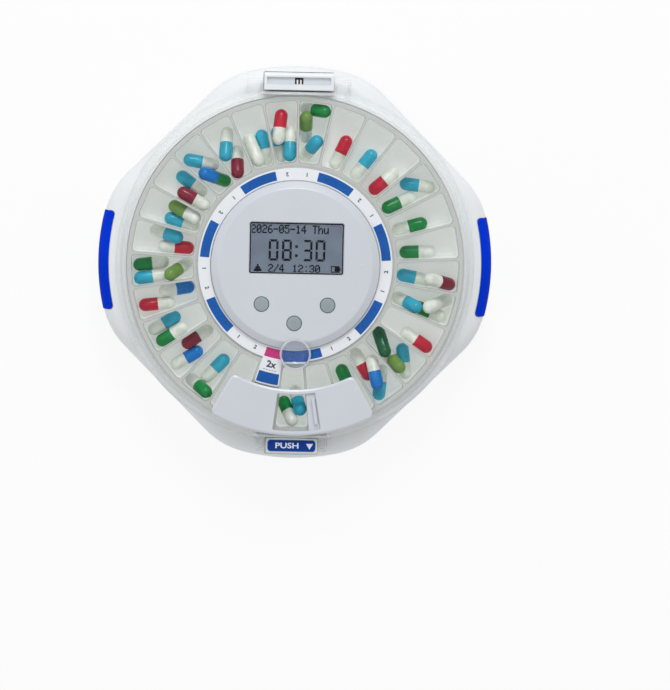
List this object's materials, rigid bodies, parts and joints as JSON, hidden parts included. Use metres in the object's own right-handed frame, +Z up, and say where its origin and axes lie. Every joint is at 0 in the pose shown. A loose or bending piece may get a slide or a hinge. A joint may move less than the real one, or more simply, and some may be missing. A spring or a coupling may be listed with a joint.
{
  "type": "electronic pill box",
  "caption": "Lobed countertop pill dispenser: motor-turned tray of cells under a round clear lid, hub display and buttons, press latch and sliding dose door.",
  "frame": {"origin": "under the centre of the case, on the plane that the feet stand on", "axes": "+Z up, along the tray's turning axis; -Y front, where the press latch and the dispensing window are; +X to the right of the display's reader"},
  "size_m": [0.2232, 0.222, 0.0524],
  "materials": {
    "case_white": "satin moulded white",
    "panel_white": "satin moulded cool white",
    "tray_clear": "milky translucent",
    "lid_clear": "clear, faintly smoked",
    "lens_clear": "clear, polished",
    "ring_white": "satin, printed",
    "grip_blue": "soft matt blue",
    "label_blue": "printed gloss blue",
    "button_grey": "soft matt grey",
    "foot_rubber": "matt dark grey",
    "board_green": "solder mask",
    "dark_plastic": "matt black",
    "gear_plastic": "natural acetal",
    "steel": "plated",
    "cell_wrap": "printed film on a steel can",
    "display_grey": "liquid crystal glass"
  },
  "bodies": {
    "housing": {"bottom_shell": "case_white", "top_shell": "case_white", "grip_left": "grip_blue", "grip_right": "grip_blue", "foot_right": "foot_rubber", "foot_rear": "foot_rubber", "foot_left": "foot_rubber", "foot_front": "foot_rubber", "housing_screw_1": "steel", "housing_screw_2": "steel", "housing_screw_3": "steel", "housing_screw_4": "steel", "battery_1": "cell_wrap", "battery_2": "cell_wrap", "battery_3": "cell_wrap", "battery_4": "cell_wrap", "battery_contact_left": "steel", "battery_contact_right": "steel", "buzzer": "dark_plastic", "gear_motor": "steel", "motor_screw_1": "steel", "motor_screw_2": "steel", "control_panel": "panel_white", "display_lens": "lens_clear", "display_module": "display_grey", "main_board": "board_green", "index_sensor": "dark_plastic", "tilt_sensor": "steel", "board_screw_1": "steel", "board_screw_2": "steel", "board_screw_3": "steel", "switch_left": "dark_plastic", "switch_middle": "dark_plastic", "switch_right": "dark_plastic", "lock_housing": "case_white", "latch_spring": "steel", "lock_spring": "steel"},
    "battery_cover": {"battery_door": "case_white"},
    "tray": {"pill_tray": "tray_clear", "tray_ring_gear": "gear_plastic", "dosage_ring": "ring_white"},
    "pinion": {"motor_pinion": "gear_plastic"},
    "button_left": {"button_left": "button_grey"},
    "button_middle": {"button_middle": "button_grey"},
    "button_right": {"button_right": "button_grey"},
    "latch": {"latch_button": "panel_white", "latch_label": "label_blue"},
    "lock": {"lock_slider": "dark_plastic"},
    "lid": {"clear_lid": "lid_clear", "dose_lens": "lens_clear", "dispense_panel": "panel_white"},
    "sliding_door": {"dispense_door": "panel_white"}
  },
  "joints": [
    {"name": "tray_spin", "type": "hinge", "parent": "housing", "child": "tray", "pos_m": [0, 0, 0.044], "axis": [0, 0, 1], "continuous": true},
    {"name": "pinion_spin", "type": "hinge", "parent": "housing", "child": "pinion", "pos_m": [-0.036, 0, 0.039], "axis": [0, 0, 1], "continuous": true},
    {"name": "button_left_press", "type": "slide", "parent": "housing", "child": "button_left", "axis": [0, 0, -1], "range_m": [0, 0.0008], "stiffness_N_per_m": 600, "springref_m": -0.0005},
    {"name": "button_middle_press", "type": "slide", "parent": "housing", "child": "button_middle", "axis": [0, 0, -1], "range_m": [0, 0.0008], "stiffness_N_per_m": 600, "springref_m": -0.0005},
    {"name": "button_right_press", "type": "slide", "parent": "housing", "child": "button_right", "axis": [0, 0, -1], "range_m": [0, 0.0008], "stiffness_N_per_m": 600, "springref_m": -0.0005},
    {"name": "latch_press", "type": "hinge", "parent": "housing", "child": "latch", "pos_m": [0, -0.1006, 0.0303], "axis": [1, 0, 0], "range_deg": [0, 6], "stiffness_Nm_per_rad": 0.6, "springref_deg": -1.72, "deforming": ["latch_spring"]},
    {"name": "lock_push", "type": "slide", "parent": "housing", "child": "lock", "axis": [0, 0, -1], "range_m": [0, 0.0025], "stiffness_N_per_m": 600, "springref_m": -0.001, "deforming": ["lock_spring"]},
    {"name": "lid_lift", "type": "slide", "parent": "housing", "child": "lid", "axis": [0, 0, 1], "range_m": [0, 0.06]},
    {"name": "door_slide", "type": "hinge", "parent": "lid", "child": "sliding_door", "pos_m": [0, 0, 0.0488], "axis": [0, 0, 1], "range_deg": [-12.4, 0]},
    {"name": "battery_door_release", "type": "slide", "parent": "housing", "child": "battery_cover", "axis": [0, 0, -1], "range_m": [0, 0.02]}
  ],
  "couplings": [
    {"joint": "pinion_spin", "follows": "tray_spin", "ratio": 3.5714}
  ]
}
